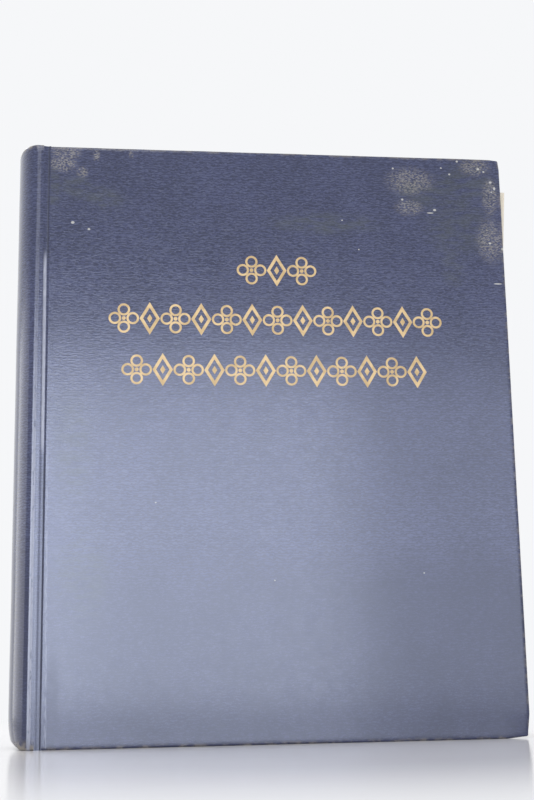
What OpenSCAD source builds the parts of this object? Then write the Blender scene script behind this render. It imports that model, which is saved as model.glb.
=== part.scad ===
// Screw-post stamp album standing on its tail: rounded spine at -X, fore-edge at +X, front cover facing -Y.
// Millimetres, +Z up. The origin is at the middle of the bounding box's bottom.

/* [Case] */
// Height of the two covers
cover_h = 304.8; // [280:0.1:330]
// Width from the spine's shoulder ridge to the fore-edge
cover_w = 246.9; // [230:0.1:260]
// Thickness over both covers
album_t = 51; // [45:0.5:60]
// How far the rounded spine stands out behind the shoulder ridges
spine_bulge = 10.5; // [6:0.5:14]
// How far the head of the spine stands above the covers
spine_rise = 0.8; // [0:0.1:2]
// Distance from the shoulder ridge to the middle of the joint groove
ridge_to_groove = 5; // [4:0.1:8]
// Width of the joint groove
groove_w = 3.6; // [2.5:0.1:5]
// Depth of the joint groove
groove_depth = 1.2; // [0.6:0.1:1.6]
// Thickness of a cover board
board_t = 2.5; // [2:0.1:3]
// Thickness of the covering cloth
cloth_t = 0.5; // [0.3:0.05:0.5]
// Thickness of the spine's former
former_t = 1.6; // [1:0.1:2]
// How far the cloth is turned in over the edges
turn_in = 14; // [10:1:20]

/* [Title panel] */
// Height of a row of ornament
ornament_h = 17.2; // [12:0.2:20]
// Distance between rows
ornament_row_pitch = 26.8; // [22:0.2:32]
// Height of the middle row's centre above the tail
ornament_z = 212.7; // [180:0.1:240]
// Distance of the rows' centre from the shoulder ridge
ornament_x = 124; // [110:0.5:140]
// Distance between neighbouring ornaments
ornament_pitch = 13.2; // [12:0.1:16]
// Number of ornaments in the three rows, from the top
ornament_counts = [3, 13, 12];
// Thickness of the gilt foil
foil_t = 0.05; // [0.02:0.01:0.1]

/* [Binding] */
// Width of a binding bar
bar_w = 18.5; // [14:0.5:20]
// Thickness of a binding bar
bar_t = 1.2; // [0.8:0.1:1.5]
// Clear space between a bar's outer face and the turned-in cloth
bar_gap = 1.6; // [1.4:0.1:2.5]
// Distance between the two posts
post_pitch = 177.8; // [150:0.1:220]
// Radius of a post
post_r = 2.6; // [2:0.1:3]
// Radius of a post's threaded bore
thread_r = 1.6; // [1.2:0.1:1.8]
// Radius of a screw head and of a post's foot
head_r = 4.8; // [4:0.1:5]
// Thickness of a screw head and of a post's foot
head_t = 1; // [0.8:0.1:1.2]
// Length of a screw's shank
shank_l = 9; // [6:0.5:12]
// Depth of a post's threaded bore
thread_depth = 14; // [12:0.5:20]
// Distance of the post holes from the leaves' bound edge
hole_inset = 9.5; // [8:0.5:11]

/* [Leaves] */
// Width of a leaf
leaf_w = 241.3; // [225:0.1:250]
// Height of a leaf
leaf_h = 285.75; // [260:0.05:295]
// Distance of the leaves' fore-edge inside the covers' fore-edge
leaf_inset = 4.5; // [3:0.5:8]
// Thickness of one turning leaf
leaf_t = 0.35; // [0.2:0.05:0.4]
// Distance between neighbouring turning leaves
leaf_pitch = 1; // [1:0.1:1.4]
// Sideways step between neighbouring leaves' folds
fold_step = 1.6; // [1.5:0.1:2]
// Thickness of a stamp
stamp_t = 0.1; // [0.05:0.05:0.15]
// Thickness of a glassine interleaf
glassine_t = 0.15; // [0.05:0.05:0.15]
// Width of the loose sheet
sheet_w = 215.9; // [200:0.1:220]
// Height of the loose sheet
sheet_h = 279.4; // [260:0.1:285]
// How far the loose sheet's upper corner stands out of the fore-edge
sheet_proud = 3.4; // [1:0.1:5]
// Height of the loose sheet's outer upper corner
sheet_corner_z = 287.3; // [284:0.1:290]
// Tilt of the loose sheet, its head towards the fore-edge
sheet_tilt = 4.2; // [0:0.1:5]

/* [Hidden] */
$fn = 48;
ridge_x = -(spine_bulge + cover_w + sheet_proud) / 2 + spine_bulge;
fore_x = ridge_x + cover_w;
face_y = album_t / 2;
spine_h = cover_h + spine_rise;
groove_x = ridge_x + ridge_to_groove;
flange_end_x = groove_x - groove_w / 2;
panel_x = groove_x + groove_w / 2;
board_y = face_y - cloth_t;
inner_y = board_y - board_t;
turned_y = inner_y - cloth_t;
paper_t = 0.3;
lining_t = 0.2;
strip_t = 2;
hinge_reach = 22;
hinge_glue_x = ridge_x + hinge_reach;
bar_y = turned_y - bar_gap;
stack_y = bar_y - bar_t;
leaf_right = fore_x - leaf_inset;
leaf_left = leaf_right - leaf_w;
leaf_z = (cover_h - leaf_h) / 2;
bar_left = leaf_left + 0.8;
bar_right = bar_left + bar_w;
bar_z = leaf_z + 2;
bar_h = cover_h - 2 * bar_z;
post_x = leaf_left + hole_inset;
post_zs = [cover_h / 2 + post_pitch / 2, cover_h / 2 - post_pitch / 2];
hole_slack = 0.15;
turning = 6;
fold_x = bar_right + 3;
fold_clear = 0.8;
fold_gap = 0.2;
block_y = -stack_y + turning * leaf_pitch;
rivet_x = bar_left + 2;
rivet_r = 0.6;
flap_t = 0.4;
rivet_margin = 14;
rivet_gaps = 5;
rivet_zs = [for (i = [0:rivet_gaps]) bar_z + rivet_margin + i * (bar_h - 2 * rivet_margin) / rivet_gaps];
// Blank margins of a stamp leaf: beyond the fold, at the fore-edge, at the tail and at the head
margins = [14, 10, 14, 32];
// Stamp layouts of the four stamp leaves: [columns, rows, stamp width, stamp height]
layouts = [[4, 6, 24, 29], [3, 5, 41, 26], [4, 5, 26, 41], [3, 6, 38, 25]];
navy = [0.17, 0.2, 0.33];
paper = [0.93, 0.9, 0.82];
card = [0.62, 0.55, 0.43];
gilt = [0.75, 0.68, 0.5];
steel = [0.72, 0.73, 0.74];

// Box between two corners
module span(low, high) {
  translate(low) cube(high - low);
}

// The half-oval behind the shoulders, drawn as a polygon, inset from the spine's outer face
function spine_arc(inset) = [
  for (i = [0:48])
    let (turn = -90 + 180 * i / 48)
      [ridge_x - (spine_bulge - inset) * cos(turn), (face_y - inset) * sin(turn)]
];

// Curved shell that follows the spine between two insets
module spine_shell(outer, inner, low_z, high_z) {
  translate([0, 0, low_z])
    linear_extrude(high_z - low_z)
      difference() {
        polygon(spine_arc(outer));
        polygon(concat([[ridge_x + 1, -face_y + inner]], spine_arc(inner), [[ridge_x + 1, face_y - inner]]));
      }
}

// Mirrors its children to the back half when side is 1
module on_side(side) {
  if (side > 0) mirror([0, 1, 0]) children();
  else children();
}

// ---- Spine ----

// Outer cloth of the spine with its two flanges and the turned-in ends
module spine_cloth() {
  color(navy) union() {
    spine_shell(0, cloth_t, 0, spine_h);
    for (low = [0, spine_h - cloth_t])
      spine_shell(cloth_t, cloth_t * 2 + former_t, low, low + cloth_t);
    for (low = [cloth_t, spine_h - turn_in])
      spine_shell(cloth_t + former_t, cloth_t * 2 + former_t, low, low + turn_in - cloth_t);
    for (side = [0, 1])
      on_side(side) {
        span([ridge_x, -face_y, 0], [flange_end_x, -board_y, spine_h]);
        for (low = [0, spine_h - cloth_t])
          span([ridge_x, -board_y, low], [flange_end_x, -board_y + strip_t, low + cloth_t]);
      }
  }
}

// Curved card that keeps the spine round
module spine_former() {
  color(card) spine_shell(cloth_t, cloth_t + former_t, cloth_t, spine_h - cloth_t);
}

// Paper lining inside the former, between the turned-in ends
module spine_lining() {
  color(paper)
    spine_shell(cloth_t + former_t, cloth_t + former_t + lining_t, turn_in + 1, spine_h - turn_in - 1);
}

// Narrow card strip between the ridge and the groove
module shoulder_strip() {
  color(card)
    span([ridge_x, -board_y, cloth_t], [flange_end_x, -board_y + strip_t, spine_h - cloth_t]);
}

module front_shoulder_strip() { shoulder_strip(); }
module back_shoulder_strip() { on_side(1) shoulder_strip(); }

// ---- Covers ----

// Stiff board of a cover
module board() {
  color(card)
    span([panel_x, -board_y, cloth_t], [fore_x - cloth_t, -inner_y, cover_h - cloth_t]);
}

module front_board() { board(); }
module back_board() { on_side(1) board(); }

// Cloth over a board: outer face, three wrapped edges and three turn-ins
module cover_cloth() {
  color(navy) difference() {
    span([panel_x, -face_y, 0], [fore_x, -turned_y, cover_h]);
    span([panel_x - 1, -board_y, cloth_t], [fore_x - cloth_t, -inner_y, cover_h - cloth_t]);
    span([panel_x - 1, -inner_y, turn_in], [fore_x - turn_in, -turned_y + 1, cover_h - turn_in]);
    span([panel_x - 1, -inner_y, -1], [hinge_glue_x, -turned_y + 1, cover_h + 1]);
  }
}

module front_cover_cloth() { cover_cloth(); }
module back_cover_cloth() { on_side(1) cover_cloth(); }

// Paper pasted on a board's inner face, inside the turn-ins
module pastedown() {
  color(paper)
    span([hinge_glue_x, -inner_y, turn_in], [fore_x - turn_in, -inner_y + paper_t, cover_h - turn_in]);
}

module front_pastedown() { pastedown(); }
module back_pastedown() { on_side(1) pastedown(); }

// ---- Gilt ornament: plain lozenges and four-ring rosettes, no lettering ----

lozenge_w = 10.4;
lozenge_line = 1.5;
ring_r = 3.2;
ring_line = 1.1;

// Upright lozenge outline with a solid lozenge inside
module lozenge() {
  difference() {
    lozenge_shape(lozenge_w, ornament_h);
    lozenge_shape(lozenge_w - 2.4 * lozenge_line, ornament_h - 4 * lozenge_line);
  }
  lozenge_shape(lozenge_w * 0.26, ornament_h * 0.26);
}

module lozenge_shape(w, h) {
  polygon([[w / 2, 0], [0, h / 2], [-w / 2, 0], [0, -h / 2]]);
}

// Four rings about a dot
module rosette() {
  for (turn = [0:90:270])
    rotate(turn) translate([ring_r + 1.35, 0])
      difference() {
        circle(ring_r);
        circle(ring_r - ring_line);
      }
  circle(1);
}

// One row of alternating ornaments, centred on the panel
module ornament_row(count, row_z) {
  for (i = [0:count - 1])
    translate([ridge_x + ornament_x + (i - (count - 1) / 2) * ornament_pitch, -face_y, row_z])
      rotate([90, 0, 0])
        linear_extrude(foil_t)
          if (i % 2 == 0) rosette();
          else lozenge();
}

module front_gilt_ornament() {
  color(gilt)
    for (row = [0:2])
      ornament_row(ornament_counts[row], ornament_z + (1 - row) * ornament_row_pitch);
}

// ---- Flexible joints ----

// Cloth in the groove between the spine's flange and the cover
module joint_cloth(height) {
  low = -face_y + groove_depth;
  color(navy)
    linear_extrude(height)
      polygon([
        [flange_end_x, -face_y], [groove_x - 0.6, low], [groove_x + 0.6, low], [panel_x, -face_y],
        [panel_x, -board_y], [groove_x + 0.8, low + cloth_t], [groove_x - 0.8, low + cloth_t],
        [flange_end_x, -board_y]
      ]);
}

module front_joint_cloth() { joint_cloth(cover_h); }
module back_joint_cloth() { on_side(1) joint_cloth(cover_h); }

// Cloth strip that ties a cover's inner face to its binding bar, folded back on itself
module inner_hinge() {
  fold_left = bar_left + 0.4;
  tab_right = post_x - head_r - 0.8;
  bend = 1;
  inner_bend = 1.2;
  color(navy) difference() {
    translate([0, 0, bar_z])
      linear_extrude(bar_h)
        polygon([
          [hinge_glue_x, -inner_y], [fold_left + bend, -inner_y], [fold_left, -inner_y + bend],
          [fold_left, -bar_y],
          [tab_right, -bar_y], [tab_right, -bar_y - flap_t], [fold_left + flap_t, -bar_y - flap_t],
          [fold_left + flap_t, -inner_y + inner_bend], [fold_left + inner_bend, -inner_y + flap_t],
          [hinge_glue_x, -inner_y + flap_t]
        ]);
    rivet_holes(-bar_y - flap_t - 0.1, -bar_y + 0.1);
  }
}

module front_inner_hinge() { inner_hinge(); }
module back_inner_hinge() { on_side(1) inner_hinge(); }

// ---- Binding ----

// Holes through the binding edge for the two posts
module post_holes(low_y, high_y) {
  for (z = post_zs)
    translate([post_x, low_y, z]) rotate([-90, 0, 0]) cylinder(h = high_y - low_y, r = post_r + hole_slack);
}

// Holes for the rivets near a bar's bound edge
module rivet_holes(low_y, high_y) {
  for (z = rivet_zs)
    translate([rivet_x, low_y, z]) rotate([-90, 0, 0]) cylinder(h = high_y - low_y, r = rivet_r);
}

// Steel bar along the bound edge
module binding_bar() {
  color(steel) difference() {
    span([bar_left, -bar_y, bar_z], [bar_right, -stack_y, bar_z + bar_h]);
    post_holes(-bar_y - 1, -stack_y + 1);
    rivet_holes(-bar_y - 1, -stack_y + 1);
  }
}

module front_binding_bar() { binding_bar(); }
module back_binding_bar() { on_side(1) binding_bar(); }

// Rivets that hold the inner hinge's tab to the bar
module bar_rivets() {
  color(steel)
    for (z = rivet_zs)
      translate([rivet_x, -bar_y - flap_t, z]) rotate([-90, 0, 0]) {
        cylinder(h = bar_t + flap_t, r = rivet_r);
        translate([0, 0, -0.3]) cylinder(h = 0.3, r = rivet_r + 0.4);
      }
}

module front_bar_rivets() { bar_rivets(); }
module back_bar_rivets() { on_side(1) bar_rivets(); }

// Flanged post: its foot on the back bar, its bore open towards the front bar
module post(z) {
  tip = -bar_y + 0.5;
  color(steel)
    translate([post_x, 0, z]) rotate([-90, 0, 0]) difference() {
      union() {
        translate([0, 0, tip]) cylinder(h = bar_y - tip, r = post_r);
        translate([0, 0, bar_y]) cylinder(h = head_t, r = head_r);
      }
      translate([0, 0, tip - 1]) cylinder(h = thread_depth + 1, r = thread_r);
    }
}

module upper_post() { post(post_zs[0]); }
module lower_post() { post(post_zs[1]); }

// Slotted screw that closes a post against the front bar
module post_screw(z) {
  slot_w = 1.2;
  slot_depth = 0.5;
  color(steel)
    translate([post_x, 0, z]) rotate([-90, 0, 0]) difference() {
      union() {
        translate([0, 0, -bar_y - head_t]) cylinder(h = head_t, r = head_r);
        translate([0, 0, -bar_y]) cylinder(h = shank_l, r = thread_r - 0.05);
      }
      translate([-head_r - 1, -slot_w / 2, -bar_y - head_t - 1]) cube([2 * head_r + 2, slot_w, slot_depth + 1]);
    }
}

module upper_post_screw() { post_screw(post_zs[0]); }
module lower_post_screw() { post_screw(post_zs[1]); }

// ---- Leaves ----

function leaf_y(i) = -stack_y + i * leaf_pitch;
function leaf_fold_x(i) = fold_x + i * fold_step;

// The clamped margins of the turning leaves, as far as their folds
module leaf_binding_margins() {
  color(paper)
    for (i = [0:turning - 1])
      difference() {
        span([leaf_left, leaf_y(i), leaf_z],
             [leaf_fold_x(i) - fold_clear, leaf_y(i) + leaf_t, leaf_z + leaf_h]);
        post_holes(leaf_y(i) - 1, leaf_y(i) + leaf_t + 1);
      }
}

// Card strips between the margins that make up for the stamps' thickness
module guard_strips() {
  color(card)
    for (i = [0:turning - 1])
      difference() {
        span([leaf_left, leaf_y(i) + leaf_t, leaf_z],
             [bar_right, leaf_y(i + 1), leaf_z + leaf_h]);
        post_holes(leaf_y(i) - 1, leaf_y(i + 1) + 1);
      }
}

// A stack of leaves between two depths
module leaf_stack(low_y, high_y) {
  color(paper) difference() {
    span([leaf_left, low_y, leaf_z], [leaf_right, high_y, leaf_z + leaf_h]);
    post_holes(low_y - 1, high_y + 1);
  }
}

block_mid_y = 3;
block_back_y = stack_y - leaf_t;

module leaf_block_front() { leaf_stack(block_y, block_mid_y); }
module leaf_block_back() { leaf_stack(block_mid_y, block_back_y); }
module back_flyleaf() { leaf_stack(block_back_y, stack_y); }

// The part of a turning leaf beyond its fold
module turning_leaf(i) {
  color(paper)
    span([leaf_fold_x(i) + fold_gap, leaf_y(i), leaf_z], [leaf_right, leaf_y(i) + leaf_t, leaf_z + leaf_h]);
}

module front_flyleaf() { turning_leaf(0); }
module title_leaf() { turning_leaf(1); }
module stamp_leaf_1() { turning_leaf(2); }
module stamp_leaf_2() { turning_leaf(3); }
module stamp_leaf_3() { turning_leaf(4); }
module stamp_leaf_4() { turning_leaf(5); }

// Stamps in columns and rows on a leaf's front face
module stamps(leaf) {
  layout = layouts[leaf - 1];
  page_x = leaf_fold_x(leaf + 1) + margins[0];
  page_z = leaf_z + margins[2];
  step_x = (leaf_right - margins[1] - page_x) / layout[0];
  step_z = (leaf_z + leaf_h - margins[3] - page_z) / layout[1];
  color([0.55, 0.4, 0.38])
    for (column = [0:layout[0] - 1])
      for (row = [0:layout[1] - 1])
        translate([
          page_x + (column + 0.5) * step_x - layout[2] / 2,
          leaf_y(leaf + 1) - stamp_t,
          page_z + (row + 0.5) * step_z - layout[3] / 2
        ]) cube([layout[2], stamp_t, layout[3]]);
}

module stamps_leaf_1() { stamps(1); }
module stamps_leaf_2() { stamps(2); }
module stamps_leaf_3() { stamps(3); }
module stamps_leaf_4() { stamps(4); }

// Thin glassine sheet that lies over a leaf's stamps
module glassine(leaf) {
  front = leaf_y(leaf + 1) - stamp_t - glassine_t - 0.05;
  bound_gap = 6;
  fore_gap = 3;
  end_gap = 2;
  color([0.9, 0.9, 0.86])
    span([leaf_fold_x(leaf + 1) + bound_gap, front, leaf_z + end_gap],
         [leaf_right - fore_gap, front + glassine_t, leaf_z + leaf_h - end_gap]);
}

module glassine_leaf_1() { glassine(1); }
module glassine_leaf_2() { glassine(2); }
module glassine_leaf_3() { glassine(3); }
module glassine_leaf_4() { glassine(4); }

// Loose sheet tucked inside the front cover, tilted so that one corner shows past the fore-edge
module loose_sheet() {
  sheet_y = -turned_y + 0.35;
  sheet_t = 0.25;
  color(paper)
    translate([fore_x + sheet_proud, sheet_y, sheet_corner_z])
      rotate([0, sheet_tilt, 0])
        translate([-sheet_w, 0, -sheet_h]) cube([sheet_w, sheet_t, sheet_h]);
}

spine_cloth();
spine_former();
spine_lining();
front_shoulder_strip();
back_shoulder_strip();
front_board();
front_cover_cloth();
front_pastedown();
front_gilt_ornament();
back_board();
back_cover_cloth();
back_pastedown();
front_joint_cloth();
back_joint_cloth();
front_inner_hinge();
back_inner_hinge();
front_binding_bar();
back_binding_bar();
front_bar_rivets();
back_bar_rivets();
upper_post();
lower_post();
upper_post_screw();
lower_post_screw();
leaf_binding_margins();
guard_strips();
leaf_block_front();
leaf_block_back();
back_flyleaf();
front_flyleaf();
title_leaf();
stamp_leaf_1();
stamp_leaf_2();
stamp_leaf_3();
stamp_leaf_4();
glassine_leaf_1();
glassine_leaf_2();
glassine_leaf_3();
glassine_leaf_4();
stamps_leaf_1();
stamps_leaf_2();
stamps_leaf_3();
stamps_leaf_4();
loose_sheet();
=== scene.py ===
"""Looks of a screw-post stamp album: grained navy book cloth, gilt ornament, aged paper and steel binding."""
import math
import random

import bmesh
import bpy
from mathutils import Matrix, Vector, noise


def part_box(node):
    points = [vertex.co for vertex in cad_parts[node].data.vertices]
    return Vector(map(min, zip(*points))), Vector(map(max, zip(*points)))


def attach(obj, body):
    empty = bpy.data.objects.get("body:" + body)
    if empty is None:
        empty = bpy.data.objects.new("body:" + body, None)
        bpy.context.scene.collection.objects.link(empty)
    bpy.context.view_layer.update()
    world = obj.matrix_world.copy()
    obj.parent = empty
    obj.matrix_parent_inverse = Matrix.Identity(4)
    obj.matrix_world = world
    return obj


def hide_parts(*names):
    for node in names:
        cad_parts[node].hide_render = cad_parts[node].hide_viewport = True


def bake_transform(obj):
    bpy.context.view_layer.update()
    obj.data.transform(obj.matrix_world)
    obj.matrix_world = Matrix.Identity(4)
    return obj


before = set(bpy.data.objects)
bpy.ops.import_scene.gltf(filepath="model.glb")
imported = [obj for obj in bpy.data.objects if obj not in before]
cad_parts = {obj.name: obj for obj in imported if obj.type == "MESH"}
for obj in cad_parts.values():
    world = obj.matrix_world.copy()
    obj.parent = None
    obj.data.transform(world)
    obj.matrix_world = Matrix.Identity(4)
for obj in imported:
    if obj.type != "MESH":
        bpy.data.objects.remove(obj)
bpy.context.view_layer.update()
draw = random.Random(7)
MM = 0.001

# ---- Places worked out from the frame, in metres ----

cover_low, cover_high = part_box("front_cover_cloth")
board_low, board_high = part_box("front_board")
spine_low, spine_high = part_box("spine_cloth")
bar_low, bar_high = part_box("front_binding_bar")
block_low, block_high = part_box("leaf_block_front")
screw_low, screw_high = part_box("upper_post_screw")
lower_low, lower_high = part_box("lower_post_screw")

FACE_Y = -cover_low.y
TURNED_Y = -cover_high.y
BOARD_Y = -board_low.y
INNER_Y = -board_high.y
CLOTH_T = FACE_Y - BOARD_Y
PANEL_X = cover_low.x
FORE_X = cover_high.x
COVER_H = cover_high.z
SPINE_H = spine_high.z
SPINE_LEFT = spine_low.x
RIDGE_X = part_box("front_shoulder_strip")[0].x
FLANGE_END_X = spine_high.x
CREASE = 5.85 * MM
GROOVE_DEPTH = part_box("front_joint_cloth")[1].y + FACE_Y - CLOTH_T
GLUE_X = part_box("front_pastedown")[0].x
TURN_IN = FORE_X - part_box("front_pastedown")[1].x
FORMER_T = 1.6 * MM
LINING_T = 0.2 * MM
BAR_Y = -bar_low.y
POST_X = (screw_low.x + screw_high.x) / 2
POST_ZS = [(screw_low.z + screw_high.z) / 2, (lower_low.z + lower_high.z) / 2]
POST_HOLE = 2.8 * MM
LEAF_LEFT, LEAF_RIGHT = block_low.x, block_high.x
LEAF_LOW, LEAF_TOP = block_low.z, block_high.z
BAR_RIGHT = bar_high.x
CREASE_PITCH = 1.5 * MM
FOLD_GAP = 0.2 * MM
BEND_REACH = 14 * MM

# Turning leaves from the front, with the body that each one moves with
TURNING_LEAVES = {
    "front_flyleaf": "front_fly",
    "title_leaf": "title_page",
    "stamp_leaf_1": "leaf_1",
    "stamp_leaf_2": "leaf_2",
    "stamp_leaf_3": "leaf_3",
    "stamp_leaf_4": "leaf_4",
}
# Columns, rows, stamp width and stamp height on each stamp leaf
LAYOUTS = {
    "leaf_1": (4, 6, 24 * MM, 29 * MM),
    "leaf_2": (3, 5, 41 * MM, 26 * MM),
    "leaf_3": (4, 5, 26 * MM, 41 * MM),
    "leaf_4": (3, 6, 38 * MM, 25 * MM),
}


def fold_of(leaf):
    """Where a turning leaf folds."""
    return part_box(leaf)[0].x - FOLD_GAP


# ---- Nodes ----


# Settings that many nodes share: a value eased from one range to another, and two colours mixed by a share
EASED = {"interpolation_type": "SMOOTHSTEP"}
IN_COLOUR = {"output": 2, "data_type": "RGBA"}


def linear(hex_code):
    """An sRGB hex colour as the linear colour that a socket takes."""
    parts = [int(hex_code[i : i + 2], 16) / 255 for i in (1, 3, 5)]
    return tuple(c / 12.92 if c <= 0.04045 else ((c + 0.055) / 1.055) ** 2.4 for c in parts) + (1,)


def plug(tree, made, inputs):
    """Sets or links the inputs of a node, a colour given as hex."""
    for key, value in inputs.items():
        if isinstance(value, bpy.types.NodeSocket):
            tree.links.new(value, made.inputs[key])
        else:
            made.inputs[key].default_value = linear(value) if isinstance(value, str) else value


def add(tree, kind, inputs, output=0, **settings):
    """Adds one node with its settings and links, and returns one of its outputs."""
    made = tree.nodes.new("ShaderNode" + kind)
    for key, value in settings.items():
        setattr(made, key, value)
    plug(tree, made, inputs)
    return made.outputs[output]


def start_material(name):
    """A new material with its tree and its main shader."""
    made = bpy.data.materials.new(name)
    made.use_nodes = True
    return made, made.node_tree, made.node_tree.nodes["Principled BSDF"]


def place_on(tree, coordinates):
    """Places in metres in the album's frame, from the object or from a flat UV map of X and Z."""
    place = add(tree, "TexCoord", {}, output=coordinates)
    if coordinates == "Object":
        return place
    return add(tree, "Mapping", {"Vector": place, "Rotation": (math.pi / 2, 0, 0)})


def grain_noise(tree, place, size, detail=2, seed=(0, 0, 0), **settings):
    """Noise from 0 to 1 whose blotches measure size, given in millimetres along X, Y and Z."""
    scale = tuple(2 / (s * MM) for s in size)
    moved = add(tree, "Mapping", {"Vector": place, "Scale": scale, "Location": seed})
    return add(tree, "TexNoise", {"Vector": moved, "Scale": 1.0, "Detail": detail}, **settings)


def marks(tree, place, ellipses):
    """1 inside any of the ellipses, which are (x, z, half width, half height) in mm from ridge and tail."""
    total = None
    for x, z, half_w, half_h in ellipses:
        centre = (RIDGE_X + x * MM, 0, z * MM)
        inputs = {"Vector": place, "Location": centre, "Scale": (half_w * MM, 1e3, half_h * MM)}
        local = add(tree, "Mapping", inputs, vector_type="TEXTURE")
        reach = add(tree, "VectorMath", {0: local}, output="Value", operation="LENGTH")
        inside = add(tree, "MapRange", {0: reach, 1: 1.0, 2: 0.35}, **EASED)
        total = inside if total is None else add(tree, "Math", {0: total, 1: inside}, operation="MAXIMUM")
    return total


def cloth_grain(tree, place):
    """Height of the embossed grain: wavy, broken creases across the cover, pebbled near the tail."""
    height = add(tree, "SeparateXYZ", {"Vector": place}, output="Z")
    sway = grain_noise(tree, place, (5, 5, 3), detail=2)
    sway = add(tree, "MapRange", {0: sway, 1: 0.25, 2: 0.75, 3: -0.7 * MM, 4: 0.7 * MM}, **EASED)
    turn = add(tree, "Math", {0: height, 1: sway}, operation="ADD")
    turn = add(tree, "Math", {0: turn, 1: 2 * math.pi / CREASE_PITCH}, operation="MULTIPLY")
    creases = add(tree, "Math", {0: turn}, operation="SINE")
    creases = add(tree, "MapRange", {0: creases, 1: -0.9, 2: 0.5}, **EASED)
    broken = grain_noise(tree, place, (5, 5, 1.5), detail=2)
    broken = add(tree, "MapRange", {0: broken, 1: 0.35, 2: 0.62, 3: 0.35}, **EASED)
    kept = add(tree, "MapRange", {0: height, 1: 70 * MM, 2: 105 * MM, 3: 0.3}, **EASED)
    pebbles = grain_noise(tree, place, (0.9, 0.9, 0.75), detail=1)
    pebbles = add(tree, "MapRange", {0: pebbles, 1: 0.3, 2: 0.7}, **EASED)
    ridges = add(tree, "Math", {0: creases, 1: broken}, operation="MULTIPLY")
    ridges = add(tree, "Math", {0: ridges, 1: kept}, operation="MULTIPLY")
    pebbles = add(tree, "Math", {0: pebbles, 1: 0.25}, operation="MULTIPLY")
    return add(tree, "Math", {0: ridges, 1: pebbles}, operation="ADD")


def book_cloth(name, coordinates="Object", wear=None):
    """Cloth with a pyroxylin coat, embossed like straight-grain leather: satin, navy, with painted shade in
    the grain hollows and crests paled partly by wear and partly by painted highlight.
    """
    made, tree, shader = start_material(name)
    place = place_on(tree, coordinates)
    grain = cloth_grain(tree, place)
    broad = grain_noise(tree, place, (46, 46, 60), detail=3)
    close = grain_noise(tree, place, (7, 7, 7), detail=3)
    share = add(tree, "MapRange", {0: broad, 1: 0.3, 2: 0.7}, **EASED)
    colour = add(tree, "Mix", {0: share, 6: "#3B4161", 7: "#444A6C"}, **IN_COLOUR)
    # Painted shade in the grain hollows, and crests paled partly by wear and partly by painted highlight
    share = add(tree, "MapRange", {0: grain, 1: 0.6, 2: 0.15, 4: 0.55}, **EASED)
    colour = add(tree, "Mix", {0: share, 6: colour, 7: "#1F2338"}, **IN_COLOUR)
    share = add(tree, "MapRange", {0: grain, 1: 0.7, 2: 1.2, 4: 0.4}, **EASED)
    colour = add(tree, "Mix", {0: share, 6: colour, 7: "#5F6685"}, **IN_COLOUR)
    share = add(tree, "MapRange", {0: close, 1: 0.35, 2: 0.8, 4: 0.16}, **EASED)
    colour = add(tree, "Mix", {0: share, 6: colour, 7: "#2B304A"}, **IN_COLOUR)
    rough = add(tree, "MapRange", {0: close, 1: 0.3, 2: 0.75, 3: 0.13, 4: 0.19}, **EASED)
    for share, tint, shine in wear(tree, place) if wear else ():
        colour = add(tree, "Mix", {0: share, 6: colour, 7: tint}, **IN_COLOUR)
        rough = add(tree, "Mix", {0: share, 2: rough, 3: shine})
    bump = add(tree, "Bump", {"Height": grain, "Strength": 0.8, "Distance": 0.014 * MM})
    plug(tree, shader, {"Base Color": colour, "Roughness": rough, "Normal": bump, "IOR": 1.5})
    return made


# ---- Shapes ----


def bisect_at(shape, axis, places):
    """Cuts a shape through at places along one axis."""
    for place in places:
        point, normal = Vector(), Vector()
        point[axis], normal[axis] = place, 1
        everything = shape.verts[:] + shape.edges[:] + shape.faces[:]
        bmesh.ops.bisect_plane(shape, geom=everything, dist=1e-7, plane_co=point, plane_no=normal)


def between(low, high, step):
    """Evenly spaced places between two ends, about a step apart and without the ends."""
    count = max(1, round((high - low) / step))
    return [low + (high - low) * i / count for i in range(1, count)]


def block(low, high):
    """A closed box between two corners."""
    shape = bmesh.new()
    bmesh.ops.create_cube(shape, size=1)
    low, high = Vector(low), Vector(high)
    bmesh.ops.scale(shape, vec=high - low, verts=shape.verts)
    bmesh.ops.translate(shape, vec=(low + high) / 2, verts=shape.verts)
    return shape


def flat_sheet(low, high, y):
    """One upright rectangle between two (x, z) corners that faces the front."""
    shape = bmesh.new()
    bmesh.ops.create_grid(shape, x_segments=1, y_segments=1, size=0.5)
    bmesh.ops.rotate(shape, matrix=Matrix.Rotation(math.pi / 2, 3, "X"), verts=shape.verts)
    bmesh.ops.scale(shape, vec=(high[0] - low[0], 1, high[1] - low[1]), verts=shape.verts)
    middle = ((low[0] + high[0]) / 2, y, (low[1] + high[1]) / 2)
    bmesh.ops.translate(shape, vec=middle, verts=shape.verts)
    return shape


def thicken(shape, thickness):
    """Gives an open skin its thickness, behind its faces, and turns all faces outwards."""
    bmesh.ops.solidify(shape, geom=shape.faces[:], thickness=thickness)
    bmesh.ops.recalc_face_normals(shape, faces=shape.faces)


def map_flat(shape):
    """Writes each corner's X and Z as its UV, in metres."""
    layer = shape.loops.layers.uv.verify()
    for face in shape.faces:
        for loop in face.loops:
            loop[layer].uv = (loop.vert.co.x, loop.vert.co.z)


def mirrored(shape):
    """The same shape on the back half of the album."""
    bmesh.ops.scale(shape, vec=(1, -1, 1), verts=shape.verts)
    bmesh.ops.reverse_faces(shape, faces=shape.faces)
    return shape


def finish_piece(name, shape, material, sharp=35):
    """Turns a shape into a piece at the origin with its finish."""
    mesh = bpy.data.meshes.new(name)
    shape.to_mesh(mesh)
    shape.free()
    mesh.materials.append(material)
    mesh.shade_smooth()
    mesh.set_sharp_from_angle(angle=math.radians(sharp))
    piece = bpy.data.objects.new(name, mesh)
    bpy.context.scene.collection.objects.link(piece)
    return piece
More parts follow.
